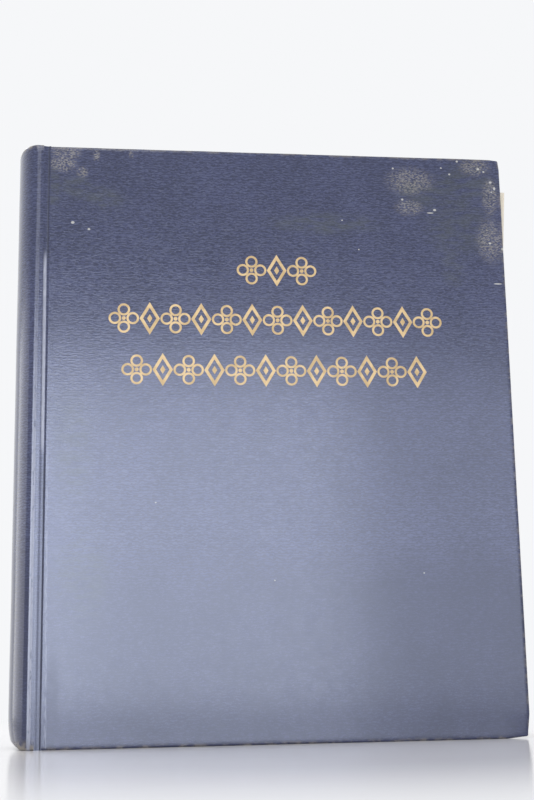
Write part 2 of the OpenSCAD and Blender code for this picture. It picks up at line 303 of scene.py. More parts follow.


# ---- Wear of the covering cloth ----

# Tan rubs, white specks, green-grey stains and painted shade of dents on the front cover: x from
# the ridge, z from the tail, half width and half height, all in mm
RUBS = [
    (14.5, 301.5, 10, 6), (7.5, 296, 5, 4), (13.5, 295.5, 9, 6.5), (23, 291, 4, 4), (30.2, 300.5, 2.4, 4.5),
    (48.3, 301.5, 1.8, 3), (5.8, 303.5, 2.2, 2.2), (197, 291, 17, 10), (233, 300, 11, 7),
    (240, 258.5, 10, 16), (241, 283, 6, 14), (196, 276, 10, 6),
]
SPECKS = [
    (18.4, 263.3, 1.3, 1.0), (26.7, 259.9, 1.0, 0.8), (188, 298, 0.8, 0.7), (192.5, 280.5, 0.9, 0.8),
    (210, 275, 1.2, 0.9), (214.5, 299, 0.7, 0.6), (219, 295.5, 0.8, 0.7), (223.5, 303, 0.9, 0.8),
    (235, 299, 1.1, 0.9), (238, 297.5, 0.8, 0.7), (241.5, 291.5, 1.1, 0.9), (243.5, 288, 0.9, 1.3),
    (241.8, 286, 0.6, 0.6), (239.5, 257, 1.0, 0.8), (246.2, 254, 0.9, 1.1), (168, 252, 0.6, 0.5),
    (159.5, 268, 0.6, 0.5), (207.5, 273.3, 2.6, 0.5), (242.7, 234.5, 3.2, 0.5), (120, 79, 0.6, 0.5),
    (61, 118, 0.6, 0.5), (196, 82, 0.6, 0.5),
]
STAINS = [
    (8.5, 281, 5, 18), (20, 283, 11, 10), (34, 277, 14, 9), (228, 290, 26, 16), (25, 82, 17, 32),
    (20, 145, 13, 40), (222, 268, 24, 25), (219, 243, 9, 14), (204, 284, 22, 10), (150, 266, 40, 8),
]
DENT_SHADES = [(11.6, 24, 4.2, 36), (10.6, 8, 4, 12), (237, 6, 6, 1.4), (103, 80, 1.0, 0.8), (152, 141, 0.9, 0.7)]


def rim_share(tree, place, low, high, width):
    """1 at the rim of a panel between two corners, in x and z, and 0 farther in than a width."""
    parts = add(tree, "VectorMath", {0: place, 1: (low[0], 0, low[1])}, operation="SUBTRACT")
    rest = add(tree, "VectorMath", {0: (high[0], 0, high[1]), 1: place}, operation="SUBTRACT")
    from_low = add(tree, "SeparateXYZ", {"Vector": parts}, output="Z")
    from_high = add(tree, "SeparateXYZ", {"Vector": rest}, output="Z")
    from_side = add(tree, "SeparateXYZ", {"Vector": rest}, output="X")
    nearest = add(tree, "Math", {0: from_low, 1: from_high}, operation="MINIMUM")
    nearest = add(tree, "Math", {0: nearest, 1: from_side}, operation="MINIMUM")
    return add(tree, "MapRange", {0: nearest, 1: width, 2: 0}, **EASED)


def rubbed_rim(tree, place):
    """Broken pale wear along a cover's three free edges."""
    rim = rim_share(tree, place, (PANEL_X, 0), (FORE_X, COVER_H), 2.2 * MM)
    broken = grain_noise(tree, place, (9, 9, 5), detail=4)
    broken = add(tree, "MapRange", {0: broken, 1: 0.42, 2: 0.66}, **EASED)
    return add(tree, "Math", {0: rim, 1: broken}, operation="MULTIPLY")


def slanting_line(tree, place, low_x, high_x, width):
    """1 on a line whose distance from the ridge goes from low_x at the tail to high_x at the head, in mm."""
    parts = add(tree, "VectorMath", {0: place, 1: (RIDGE_X, 0, 0)}, operation="SUBTRACT")
    across = add(tree, "SeparateXYZ", {"Vector": parts}, output="X")
    height = add(tree, "SeparateXYZ", {"Vector": parts}, output="Z")
    lean = add(tree, "MapRange", {"Value": height, 2: COVER_H, 3: low_x * MM, 4: high_x * MM})
    off = add(tree, "Math", {0: across, 1: lean}, operation="SUBTRACT")
    off = add(tree, "Math", {0: off}, operation="ABSOLUTE")
    return add(tree, "MapRange", {0: off, 1: width * MM, 2: 0.3 * width * MM}, **EASED)


def between_heights(tree, place, low, high):
    """1 between two heights in mm, faded over 10 mm at each end."""
    height = add(tree, "SeparateXYZ", {"Vector": place}, output="Z")
    above = add(tree, "MapRange", {0: height, 1: (low - 10) * MM, 2: low * MM}, **EASED)
    below = add(tree, "MapRange", {0: height, 1: (high + 10) * MM, 2: high * MM}, **EASED)
    return add(tree, "Math", {0: above, 1: below}, operation="MULTIPLY")


def low_crack(tree, place):
    """The pale crack of the lower half, which leans from the cover's edge into the groove."""
    line = slanting_line(tree, place, 8.6, 6.0, 0.75)
    return add(tree, "Math", {0: line, 1: between_heights(tree, place, 4, 140)}, operation="MULTIPLY")


def front_wear(tree, place):
    """Stains, rubs and specks of the front cover, painted shade of its dents, and the crack that runs on from
    the groove.
    """
    patchy = grain_noise(tree, place, (2.4, 2.4, 1.0), detail=5)
    patchy = add(tree, "MapRange", {0: patchy, 1: 0.4, 2: 0.68}, **EASED)
    streaky = grain_noise(tree, place, (18, 18, 6), detail=4)
    streaky = add(tree, "MapRange", {0: streaky, 1: 0.3, 2: 0.65}, **EASED)
    stains = add(tree, "Math", {0: marks(tree, place, STAINS), 1: streaky}, operation="MULTIPLY")
    stains = add(tree, "Math", {0: stains, 1: 0.44}, operation="MULTIPLY")
    rubs = add(tree, "Math", {0: marks(tree, place, RUBS), 1: patchy}, operation="MULTIPLY")
    rubs = add(tree, "Math", {0: rubs, 1: 0.7}, operation="MULTIPLY")
    specks = add(tree, "MapRange", {0: marks(tree, place, SPECKS), 1: 0.2, 2: 0.8, 4: 0.62}, **EASED)
    flecks = grain_noise(tree, place, (1.5, 1.5, 12), detail=4)
    broken = add(tree, "MapRange", {0: flecks, 1: 0.38, 2: 0.6}, **EASED)
    crack = add(tree, "Math", {0: low_crack(tree, place), 1: broken}, operation="MULTIPLY")
    return [
        (stains, "#454B49", 0.24),
        # Painted shade: the dents are darkened in colour instead of turning the gloss away
        (add(tree, "Math", {0: marks(tree, place, DENT_SHADES), 1: 0.3}, operation="MULTIPLY"), "#23283C", 0.34),
        (rubs, "#8F897E", 0.5),
        (add(tree, "Math", {0: rubbed_rim(tree, place), 1: 0.55}, operation="MULTIPLY"), "#8A8378", 0.5),
        (add(tree, "Math", {0: crack, 1: 0.4}, operation="MULTIPLY"), "#9EA1B2", 0.4),
        (specks, "#D5D3CB", 0.6),
    ]


def back_wear(tree, place):
    """Shelf wear of the back cover: rubbed edges and faint long scrapes."""
    scrapes = grain_noise(tree, place, (60, 60, 1.6), detail=3)
    scrapes = add(tree, "MapRange", {0: scrapes, 1: 0.66, 2: 0.74}, **EASED)
    patches = grain_noise(tree, place, (40, 40, 40), detail=4)
    patches = add(tree, "MapRange", {0: patches, 1: 0.5, 2: 0.72}, **EASED)
    return [
        (add(tree, "Math", {0: patches, 1: 0.3}, operation="MULTIPLY"), "#4A504C", 0.36),
        (add(tree, "Math", {0: scrapes, 1: 0.3}, operation="MULTIPLY"), "#8A8C97", 0.45),
        (add(tree, "Math", {0: rubbed_rim(tree, place), 1: 0.6}, operation="MULTIPLY"), "#8A8378", 0.5),
    ]


def spine_wear(tree, place):
    """Rubbed caps at head and tail, painted shade in the fine folds of the flanges, and the pale line along
    the shoulder ridges, partly wear and partly painted highlight.
    """
    height = add(tree, "SeparateXYZ", {"Vector": place}, output="Z")
    head = add(tree, "MapRange", {0: height, 1: SPINE_H - 3 * MM, 2: SPINE_H - 0.3 * MM}, **EASED)
    tail = add(tree, "MapRange", {0: height, 1: 6 * MM, 2: 0.5 * MM}, **EASED)
    ends = add(tree, "Math", {0: head, 1: tail}, operation="MAXIMUM")
    broken = grain_noise(tree, place, (5, 5, 5), detail=4)
    broken = add(tree, "MapRange", {0: broken, 1: 0.34, 2: 0.6}, **EASED)
    # The pale ridge line is partly wear and partly painted highlight of the ridge crest, stronger towards the
    # tail
    low_half = add(tree, "MapRange", {0: height, 1: 0.8 * SPINE_H, 2: 0.4 * SPINE_H, 3: 0.25}, **EASED)
    patchy = grain_noise(tree, place, (2.5, 2.5, 12), detail=4)
    patchy = add(tree, "MapRange", {0: patchy, 1: 0.2, 2: 0.5}, **EASED)
    line = slanting_line(tree, place, 0.7, 0.9, 1.3)
    line = add(tree, "Math", {0: line, 1: low_half}, operation="MULTIPLY")
    # Painted shade in the fine vertical folds of the flange
    folds = grain_noise(tree, place, (0.8, 30, 60), detail=2)
    folds = add(tree, "MapRange", {0: folds, 1: 0.55, 2: 0.7}, **EASED)
    flange = slanting_line(tree, place, 2.2, 2.2, 2.2)
    folds = add(tree, "Math", {0: folds, 1: flange}, operation="MULTIPLY")
    ends = add(tree, "Math", {0: ends, 1: broken}, operation="MULTIPLY")
    line = add(tree, "Math", {0: line, 1: patchy}, operation="MULTIPLY")
    return [
        # painted shade of the folds
        (add(tree, "Math", {0: folds, 1: 0.4}, operation="MULTIPLY"), "#282C44", 0.4),
        (add(tree, "Math", {0: ends, 1: 0.8}, operation="MULTIPLY"), "#8F877A", 0.55),
        # pale ridge line: wear and painted highlight
        (add(tree, "Math", {0: line, 1: 0.7}, operation="MULTIPLY"), "#A6A9B8", 0.42),
    ]


def joint_wear(tree, place):
    """Painted shade in the crease at the bottom of the groove, with a pale crack along its spine side."""
    patchy = grain_noise(tree, place, (1.5, 1.5, 12), detail=4)
    patchy = add(tree, "MapRange", {0: patchy, 1: 0.36, 2: 0.6}, **EASED)
    cracked = between_heights(tree, place, 150, 240)
    # Painted shade in the groove's crease, weaker where the joint is cracked
    paler = add(tree, "Math", {0: cracked, 1: -0.4}, operation="MULTIPLY")
    crease_shade_strength = add(tree, "Math", {0: paler, 1: 0.55}, operation="ADD")
    crease_line = slanting_line(tree, place, CREASE / MM, CREASE / MM, 0.9)
    crease = add(tree, "Math", {0: crease_line, 1: crease_shade_strength}, operation="MULTIPLY")
    worn_through = add(tree, "Math", {0: patchy, 1: 0.75}, operation="MAXIMUM")
    upper = slanting_line(tree, place, 5.35, 4.45, 1.1)
    upper = add(tree, "Math", {0: upper, 1: cracked}, operation="MULTIPLY")
    upper = add(tree, "Math", {0: upper, 1: worn_through}, operation="MULTIPLY")
    lower = add(tree, "Math", {0: low_crack(tree, place), 1: patchy}, operation="MULTIPLY")
    crack = add(tree, "Math", {0: upper, 1: lower}, operation="MAXIMUM")
    return [
        # painted shade of the crease
        (crease, "#23283C", 0.4),
        (add(tree, "Math", {0: crack, 1: 0.85}, operation="MULTIPLY"), "#B2B5C4", 0.5),
    ]


# ---- Finishes ----


def gilt_foil():
    """Brass-toned blocking foil pressed into the cloth: pale gold, broken where the crests have rubbed."""
    made, tree, shader = start_material("gilt_foil")
    place = place_on(tree, "Object")
    grain = cloth_grain(tree, place)
    rubbed = grain_noise(tree, place, (1.6, 1.6, 0.9), detail=4)
    rubbed = add(tree, "MapRange", {0: rubbed, 1: 0.62, 2: 0.7}, **EASED)
    tone = grain_noise(tree, place, (9, 9, 9), detail=2)
    tone = add(tree, "MapRange", {0: tone, 1: 0.35, 2: 0.65}, **EASED)
    colour = add(tree, "Mix", {0: tone, 6: "#C4A878", 7: "#AE9262"}, **IN_COLOUR)
    share = add(tree, "Math", {0: rubbed, 1: 0.75}, operation="MULTIPLY")
    colour = add(tree, "Mix", {0: share, 6: colour, 7: "#565A6E"}, **IN_COLOUR)
    bump = add(tree, "Bump", {"Height": grain, "Strength": 0.5, "Distance": 0.04 * MM})
    metal = add(tree, "Math", {0: rubbed, 1: -0.2}, operation="MULTIPLY")
    metal = add(tree, "Math", {0: metal, 1: 0.25}, operation="ADD")
    plug(tree, shader, {"Base Color": colour, "Metallic": metal, "Roughness": 0.5, "Normal": bump})
    return made


def printed_front(tree, place, colour, prints):
    """Adds prints to the colour of the faces that are marked as a page's front."""
    front = add(tree, "Attribute", {}, output="Fac", attribute_name="front")
    for share, ink in prints(tree, place) if prints else ():
        share = add(tree, "Math", {0: share, 1: front}, operation="MULTIPLY")
        colour = add(tree, "Mix", {0: share, 6: colour, 7: ink}, **IN_COLOUR)
    return colour


def paper(name, light, dark, coordinates="UV", edge=None, prints=None):
    """Wood-pulp paper, toned by age: matt, slightly mottled, browner towards its edges."""
    made, tree, shader = start_material(name)
    place = place_on(tree, coordinates)
    fibres = grain_noise(tree, place, (1.2, 1.2, 0.8), detail=3)
    clouds = grain_noise(tree, place, (38, 38, 38), detail=4)
    share = add(tree, "MapRange", {0: clouds, 1: 0.3, 2: 0.75, 4: 0.45}, **EASED)
    colour = add(tree, "Mix", {0: share, 6: light, 7: dark}, **IN_COLOUR)
    share = add(tree, "MapRange", {0: fibres, 1: 0.4, 2: 0.75, 4: 0.14}, **EASED)
    colour = add(tree, "Mix", {0: share, 6: colour, 7: "#8C7B5E"}, **IN_COLOUR)
    foxing = grain_noise(tree, place, (5, 5, 5), detail=2)
    foxing = add(tree, "MapRange", {0: foxing, 1: 0.74, 2: 0.82, 4: 0.4}, **EASED)
    colour = add(tree, "Mix", {0: foxing, 6: colour, 7: "#A07C4C"}, **IN_COLOUR)
    if edge:
        rim = rim_share(tree, place, edge[0], edge[1], edge[2])
        share = add(tree, "Math", {0: rim, 1: 0.6}, operation="MULTIPLY")
        colour = add(tree, "Mix", {0: share, 6: colour, 7: "#B59A6A"}, **IN_COLOUR)
    colour = printed_front(tree, place, colour, prints)
    bump = add(tree, "Bump", {"Height": fibres, "Strength": 0.25, "Distance": 0.04 * MM})
    plug(tree, shader, {"Base Color": colour, "Roughness": 0.82, "Normal": bump, "IOR": 1.45})
    return made


def leaf_edges(prints):
    """Stacked leaf edges: each leaf with its own tone, darkest at the outer rim where air and dust reach."""
    made, tree, shader = start_material("leaf_edges")
    place = place_on(tree, "Object")
    tone = add(tree, "Attribute", {}, output="Fac", attribute_name="tone")
    colour = add(tree, "Mix", {0: tone, 6: "#EFE8D3", 7: "#D8C9A4"}, **IN_COLOUR)
    dust = grain_noise(tree, place, (14, 1.5, 14), detail=4)
    rim = rim_share(tree, place, (LEAF_LEFT, LEAF_LOW), (LEAF_RIGHT, LEAF_TOP), 2.5 * MM)
    aged = add(tree, "MapRange", {0: dust, 1: 0.3, 2: 0.7, 3: 0.25, 4: 0.75}, **EASED)
    aged = add(tree, "Math", {0: rim, 1: aged}, operation="MULTIPLY")
    colour = add(tree, "Mix", {0: aged, 6: colour, 7: "#BFA77C"}, **IN_COLOUR)
    colour = printed_front(tree, place, colour, prints)
    fibres = grain_noise(tree, place, (0.8, 0.3, 0.8), detail=2)
    bump = add(tree, "Bump", {"Height": fibres, "Strength": 0.3, "Distance": 0.05 * MM})
    plug(tree, shader, {"Base Color": colour, "Roughness": 0.85, "Normal": bump, "IOR": 1.45})
    return made


def box_line(tree, across, up, half_w, half_h, line):
    """1 on the outline of an upright rectangle about the origin of two local numbers."""
    side = add(tree, "Math", {0: across}, operation="ABSOLUTE")
    side = add(tree, "Math", {0: side, 1: half_w}, operation="SUBTRACT")
    top = add(tree, "Math", {0: up}, operation="ABSOLUTE")
    top = add(tree, "Math", {0: top, 1: half_h}, operation="SUBTRACT")
    off = add(tree, "Math", {0: side, 1: top}, operation="MAXIMUM")
    off = add(tree, "Math", {0: off}, operation="ABSOLUTE")
    return add(tree, "MapRange", {0: off, 1: line * 0.7, 2: line * 0.4}, **EASED)


def framed_places(leaf, layout):
    """Prints of a stamp leaf: a thin box round every stamp's place and a double rule round the page."""
    columns, rows, stamp_w, stamp_h = layout
    fold = fold_of(leaf)
    left, low = fold + 14 * MM, LEAF_LOW + 14 * MM
    step_x = (LEAF_RIGHT - fold - 24 * MM) / columns
    step_z = (LEAF_TOP - LEAF_LOW - 46 * MM) / rows

    def prints(tree, place):
        x = add(tree, "SeparateXYZ", {"Vector": place}, output="X")
        z = add(tree, "SeparateXYZ", {"Vector": place}, output="Z")
        cells = []
        for value, start, step, count in ((x, left, step_x, columns), (z, low, step_z, rows)):
            run = add(tree, "Math", {0: value, 1: start}, operation="SUBTRACT")
            run = add(tree, "Math", {0: run, 1: 1 / step}, operation="MULTIPLY")
            local = add(tree, "Math", {0: run}, operation="FRACT")
            local = add(tree, "Math", {0: local, 1: 0.5}, operation="SUBTRACT")
            local = add(tree, "Math", {0: local, 1: step}, operation="MULTIPLY")
            past_start = add(tree, "Math", {0: run, 1: 0}, operation="GREATER_THAN")
            before_end = add(tree, "Math", {0: run, 1: count}, operation="LESS_THAN")
            inside = add(tree, "Math", {0: past_start, 1: before_end}, operation="MULTIPLY")
            cells.append((local, inside))
        room = 1.6 * MM
        (local_x, inside_x), (local_z, inside_z) = cells
        boxes = box_line(tree, local_x, local_z, stamp_w / 2 + room, stamp_h / 2 + room, 0.45 * MM)
        inside = add(tree, "Math", {0: inside_x, 1: inside_z}, operation="MULTIPLY")
        boxes = add(tree, "Math", {0: boxes, 1: inside}, operation="MULTIPLY")
        middle_x = left + step_x * columns / 2
        middle_z = (LEAF_LOW + LEAF_TOP) / 2
        from_x = add(tree, "Math", {0: x, 1: middle_x}, operation="SUBTRACT")
        from_z = add(tree, "Math", {0: z, 1: middle_z}, operation="SUBTRACT")
        half_w, half_h = step_x * columns / 2, (LEAF_TOP - LEAF_LOW) / 2 - 9 * MM
        outer = box_line(tree, from_x, from_z, half_w, half_h, 0.9 * MM)
        inner = box_line(tree, from_x, from_z, half_w - 1.8 * MM, half_h - 1.8 * MM, 0.4 * MM)
        rules = add(tree, "Math", {0: outer, 1: inner}, operation="MAXIMUM")
        return [
            (add(tree, "Math", {0: boxes, 1: 0.7}, operation="MULTIPLY"), "#4C4A4A"),
            (add(tree, "Math", {0: rules, 1: 0.75}, operation="MULTIPLY"), "#4C4A4A"),
        ]

    return prints


def title_prints(tree, place):
    """Prints of the title leaf: nested rules with a ringed lozenge in the middle and no words."""
    centre = ((fold_of("title_leaf") + LEAF_RIGHT) / 2 + 3 * MM, 0, (LEAF_LOW + LEAF_TOP) / 2)
    local = add(tree, "VectorMath", {0: place, 1: centre}, operation="SUBTRACT")
    x = add(tree, "SeparateXYZ", {"Vector": local}, output="X")
    z = add(tree, "SeparateXYZ", {"Vector": local}, output="Z")
    blue = None
    for half_w, half_h, line in ((96, 124, 1.6), (92.5, 120.5, 0.6), (60, 34, 0.6), (57, 31, 1.2)):
        rule = box_line(tree, x, z, half_w * MM, half_h * MM, line * MM)
        blue = rule if blue is None else add(tree, "Math", {0: blue, 1: rule}, operation="MAXIMUM")
    flat_place = add(tree, "CombineXYZ", {"X": x, "Z": z})
    reach = add(tree, "VectorMath", {0: flat_place}, output="Value", operation="LENGTH")
    for radius in (12, 19, 21.5):
        off = add(tree, "Math", {0: reach, 1: radius * MM}, operation="SUBTRACT")
        off = add(tree, "Math", {0: off}, operation="ABSOLUTE")
        ring = add(tree, "MapRange", {0: off, 1: 0.6 * MM, 2: 0.3 * MM}, **EASED)
        blue = add(tree, "Math", {0: blue, 1: ring}, operation="MAXIMUM")
    off_x = add(tree, "Math", {0: x}, operation="ABSOLUTE")
    off_z = add(tree, "Math", {0: z}, operation="ABSOLUTE")
    slant = add(tree, "Math", {0: off_x, 1: off_z}, operation="ADD")
    gold = add(tree, "MapRange", {0: slant, 1: 9 * MM, 2: 8.7 * MM}, **EASED)
    return [
        (add(tree, "Math", {0: blue, 1: 0.8}, operation="MULTIPLY"), "#2E3B66"),
        (add(tree, "Math", {0: gold, 1: 0.8}, operation="MULTIPLY"), "#A98A3C"),
    ]


def stamp_print():
    """Stamps on gummed paper: a white margin round a one-colour engraving of rays, rings and fine lines."""
    made, tree, shader = start_material("stamp_print")
    sheet = add(tree, "TexCoord", {}, output="UV")
    centred = add(tree, "VectorMath", {0: sheet, 1: (0.5, 0.5, 0)}, operation="SUBTRACT")
    x = add(tree, "SeparateXYZ", {"Vector": centred}, output="X")
    z = add(tree, "SeparateXYZ", {"Vector": centred}, output="Y")
    ink = add(tree, "Attribute", {}, output="Color", attribute_name="ink")
    pick = add(tree, "Attribute", {}, output="Fac", attribute_name="design")
    off_x = add(tree, "Math", {0: x}, operation="ABSOLUTE")
    off_z = add(tree, "Math", {0: z}, operation="ABSOLUTE")
    side = add(tree, "Math", {0: off_x, 1: off_z}, operation="MAXIMUM")
    printed = add(tree, "MapRange", {0: side, 1: 0.43, 2: 0.42}, **EASED)
    band = add(tree, "MapRange", {0: side, 1: 0.35, 2: 0.36}, **EASED)
    frame_band = add(tree, "Math", {0: band, 1: printed}, operation="MULTIPLY")
    reach = add(tree, "VectorMath", {0: centred}, output="Value", operation="LENGTH")
    rays = add(tree, "Math", {0: z, 1: x}, operation="ARCTAN2")
    rays = add(tree, "Math", {0: rays, 1: 16}, operation="MULTIPLY")
    rays = add(tree, "Math", {0: rays}, operation="SINE")
    rays = add(tree, "MapRange", {0: rays, 1: -0.2, 2: 0.2}, **EASED)
    rings = add(tree, "Math", {0: reach, 1: 150}, operation="MULTIPLY")
    rings = add(tree, "Math", {0: rings}, operation="SINE")
    rings = add(tree, "MapRange", {0: rings, 1: -0.3, 2: 0.3}, **EASED)
    hills = add(tree, "Math", {0: x, 1: 9}, operation="MULTIPLY")
    hills = add(tree, "Math", {0: hills}, operation="SINE")
    hills = add(tree, "Math", {0: hills, 1: 0.06}, operation="MULTIPLY")
    hills = add(tree, "Math", {0: hills, 1: z}, operation="SUBTRACT")
    hatch = add(tree, "Math", {0: hills, 1: 130}, operation="MULTIPLY")
    hatch = add(tree, "Math", {0: hatch}, operation="SINE")
    hatch = add(tree, "MapRange", {0: hatch, 1: -0.3, 2: 0.5}, **EASED)
    not_rays = add(tree, "MapRange", {0: pick, 1: 0.3, 2: 0.34}, **EASED)
    picture = add(tree, "Mix", {0: not_rays, 2: rays, 3: rings})
    hatched = add(tree, "MapRange", {0: pick, 1: 0.63, 2: 0.67}, **EASED)
    picture = add(tree, "Mix", {0: hatched, 2: picture, 3: hatch})
    picture = add(tree, "Math", {0: picture, 1: 0.8}, operation="MULTIPLY")
    medallion = add(tree, "MapRange", {0: reach, 1: 0.27, 2: 0.265}, **EASED)
    off_ring = add(tree, "Math", {0: reach, 1: 0.285}, operation="SUBTRACT")
    off_ring = add(tree, "Math", {0: off_ring}, operation="ABSOLUTE")
    ring_line = add(tree, "MapRange", {0: off_ring, 1: 0.012, 2: 0.006}, **EASED)
    field = add(tree, "Mix", {0: medallion, 2: 0.72, 3: picture})
    cover = add(tree, "Math", {0: field, 1: frame_band}, operation="MAXIMUM")
    cover = add(tree, "Math", {0: cover, 1: ring_line}, operation="SUBTRACT")
    share = add(tree, "Math", {0: cover, 1: printed}, operation="MULTIPLY")
    share = add(tree, "Math", {0: share, 1: 0.9}, operation="MULTIPLY")
    colour = add(tree, "Mix", {0: share, 6: "#EDE6D2", 7: ink}, **IN_COLOUR)
    plug(tree, shader, {"Base Color": colour, "Roughness": 0.6, "IOR": 1.45})
    return made


def glassine_paper():
    """Supercalendered glassine: thin, see-through and faintly glossy, with soft creases."""
    made, tree, shader = start_material("glassine")
    place = place_on(tree, "UV")
    creases = grain_noise(tree, place, (30, 30, 55), detail=5, noise_type="RIDGED_MULTIFRACTAL")
    bump = add(tree, "Bump", {"Height": creases, "Strength": 0.5, "Distance": 0.15 * MM})
    share = add(tree, "MapRange", {0: creases, 1: 0.2, 2: 0.9}, **EASED)
    tone = add(tree, "Mix", {0: share, 6: "#E4E0CC", 7: "#F2F0E6"}, **IN_COLOUR)
    plug(tree, shader, {"Base Color": tone, "Roughness": 0.3, "Alpha": 0.14, "Normal": bump, "IOR": 1.46})
    return made


def woven_cloth(name, base, thread, pitch):
    """Plain-woven binder's cloth: two sets of threads a pitch apart, filled and dyed, with dusty crests."""
    made, tree, shader = start_material(name)
    place = place_on(tree, "UV")
    turns = {"Vector": place, "Scale": 1 / (pitch * MM) / 2, "Distortion": 0.4, "Detail": 1.0}
    warp = add(tree, "TexWave", turns, output="Fac", bands_direction="X")
    weft = add(tree, "TexWave", turns, output="Fac", bands_direction="Z")
    weave = add(tree, "Math", {0: warp, 1: weft}, operation="MAXIMUM")
    slubs = grain_noise(tree, place, (3, 3, 8), detail=3)
    share = add(tree, "MapRange", {0: weave, 1: 0.3, 2: 1, 4: 0.55}, **EASED)
    colour = add(tree, "Mix", {0: share, 6: base, 7: thread}, **IN_COLOUR)
    share = add(tree, "MapRange", {0: slubs, 1: 0.45, 2: 0.8, 4: 0.4}, **EASED)
    colour = add(tree, "Mix", {0: share, 6: colour, 7: thread}, **IN_COLOUR)
    bump = add(tree, "Bump", {"Height": weave, "Strength": 0.6, "Distance": 0.08 * MM})
    plug(tree, shader, {"Base Color": colour, "Roughness": 0.75, "Normal": bump, "IOR": 1.48})
    return made


def binders_board():
    """Grey binder's board and manila card: recycled fibre with dark flecks."""
    made, tree, shader = start_material("grey_board")
    place = place_on(tree, "Object")
    fibres = grain_noise(tree, place, (1.5, 0.6, 1.5), detail=4)
    flecks = grain_noise(tree, place, (0.9, 0.9, 0.9), detail=1)
    flecks = add(tree, "MapRange", {0: flecks, 1: 0.72, 2: 0.8, 4: 0.6}, **EASED)
    colour = add(tree, "Mix", {0: fibres, 6: "#8A7A5E", 7: "#A8987A"}, **IN_COLOUR)
    colour = add(tree, "Mix", {0: flecks, 6: colour, 7: "#4A4238"}, **IN_COLOUR)
    bump = add(tree, "Bump", {"Height": fibres, "Strength": 0.4, "Distance": 0.1 * MM})
    plug(tree, shader, {"Base Color": colour, "Roughness": 0.88, "Normal": bump, "IOR": 1.45})
    return made


def plated_steel(name, stroke):
    """Nickel-plated steel, rolled or turned: fine strokes along one way and a few dull spots."""
    made, tree, shader = start_material(name)
    place = place_on(tree, "Object")
    strokes = grain_noise(tree, place, stroke, detail=3)
    spots = grain_noise(tree, place, (4, 4, 4), detail=4)
    spots = add(tree, "MapRange", {0: spots, 1: 0.6, 2: 0.75}, **EASED)
    colour = add(tree, "Mix", {0: spots, 6: "#C4C2BC", 7: "#9C968A"}, **IN_COLOUR)
    rough = add(tree, "MapRange", {0: strokes, 1: 0.3, 2: 0.7, 3: 0.2, 4: 0.34}, **EASED)
    rougher = add(tree, "Math", {0: spots, 1: 0.2}, operation="MULTIPLY")
    rough = add(tree, "Math", {0: rough, 1: rougher}, operation="ADD")
    bump = add(tree, "Bump", {"Height": strokes, "Strength": 0.15, "Distance": 0.03 * MM})
    plug(tree, shader, {"Base Color": colour, "Metallic": 1.0, "Roughness": rough, "Normal": bump})
    return made


# ---- Case ----

# Knocked corners of a cover: (x, z) of the corner, how far the knock reaches and how it pushes
FRONT_KNOCKS = [
    ((FORE_X, 0), 13 * MM, Vector((-1.1, 0.5, 0.9)) * MM),
    ((FORE_X, COVER_H), 7 * MM, Vector((-0.5, 0.1, -0.5)) * MM),
]
BACK_KNOCKS = [
    ((FORE_X, 0), 8 * MM, Vector((-0.7, -0.3, 0.6)) * MM),
    ((FORE_X, COVER_H), 9 * MM, Vector((-0.6, 0.2, -0.6)) * MM),
]


def wear_down(shape, knocks):
    """Makes a cover's straight edges a little uneven and knocks its corners in."""
    for vert in shape.verts:
        x, z = vert.co.x, vert.co.z
        rim = max(0, 1 - min(FORE_X - x, z, COVER_H - z) / (4 * MM))
        vert.co.x += 0.12 * MM * rim * noise.noise((0, 0, z * 45))
        vert.co.z += 0.12 * MM * rim * noise.noise((x * 45, 5, 0))
        for corner, reach, push in knocks:
            near = max(0, 1 - math.hypot(x - corner[0], z - corner[1]) / reach)
            vert.co += push * near * near * (3 - 2 * near)


def cut_grid(shape, step):
    """Cuts a panel into squares so that it can be worn down."""
    bisect_at(shape, 0, between(PANEL_X, FORE_X, step) + [FORE_X - 5 * MM, FORE_X - 2.5 * MM])
    bisect_at(shape, 2, between(0, COVER_H, step) + [2.5 * MM, 5 * MM, COVER_H - 5 * MM, COVER_H - 2.5 * MM])


def rounded_panel(low, high, radius, segments):
    """A panel's closed box, rounded along all edges except those at the groove."""
    shape = block(low, high)
    rim = [e for e in shape.edges if any(v.co.x > low[0] + MM for v in e.verts)]
    bmesh.ops.bevel(
        shape, geom=rim, offset=radius, segments=segments, profile=0.5, affect="EDGES", material=-1
    )
    return shape


def cover_board(name, knocks, side, material):
    """Stiff board of a cover with softened edges, replacing the plain one."""
    low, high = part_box("front_board")
    shape = rounded_panel(low, high, 0.45 * MM, 2)
    cut_grid(shape, 12 * MM)
    wear_down(shape, knocks)
    if side > 0:
        mirrored(shape)
    piece = finish_piece(name + "_worn", shape, material)
    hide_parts(name)
    return piece


def cover_cloth(name, knocks, side, material):
    """Cloth round a board: outer face, rounded wraps and three turn-ins, open towards the groove."""
    shape = rounded_panel(cover_low, cover_high, 0.95 * MM, 4)
    inner_side, inner_low, inner_top = FORE_X - TURN_IN, TURN_IN, COVER_H - TURN_IN
    bisect_at(shape, 0, [GLUE_X, inner_side])
    bisect_at(shape, 2, [bar_low.z, inner_low, inner_top, bar_high.z])
    open_faces = []
    for face in shape.faces:
        middle = face.calc_center_median()
        at_groove = middle.x < PANEL_X + 1e-6
        on_inside = middle.y > -TURNED_Y - 1e-6
        bare = middle.x < inner_side and inner_low < middle.z < inner_top
        hinged = middle.x < GLUE_X and bar_low.z < middle.z < bar_high.z
        if at_groove or (on_inside and (bare or hinged)):
            open_faces.append(face)
    bmesh.ops.delete(shape, geom=open_faces, context="FACES")
    cut_grid(shape, 6 * MM)
    wear_down(shape, knocks)
    thicken(shape, CLOTH_T)
    if side > 0:
        mirrored(shape)
    piece = finish_piece(name + "_worn", shape, material)
    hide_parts(name)
    return piece


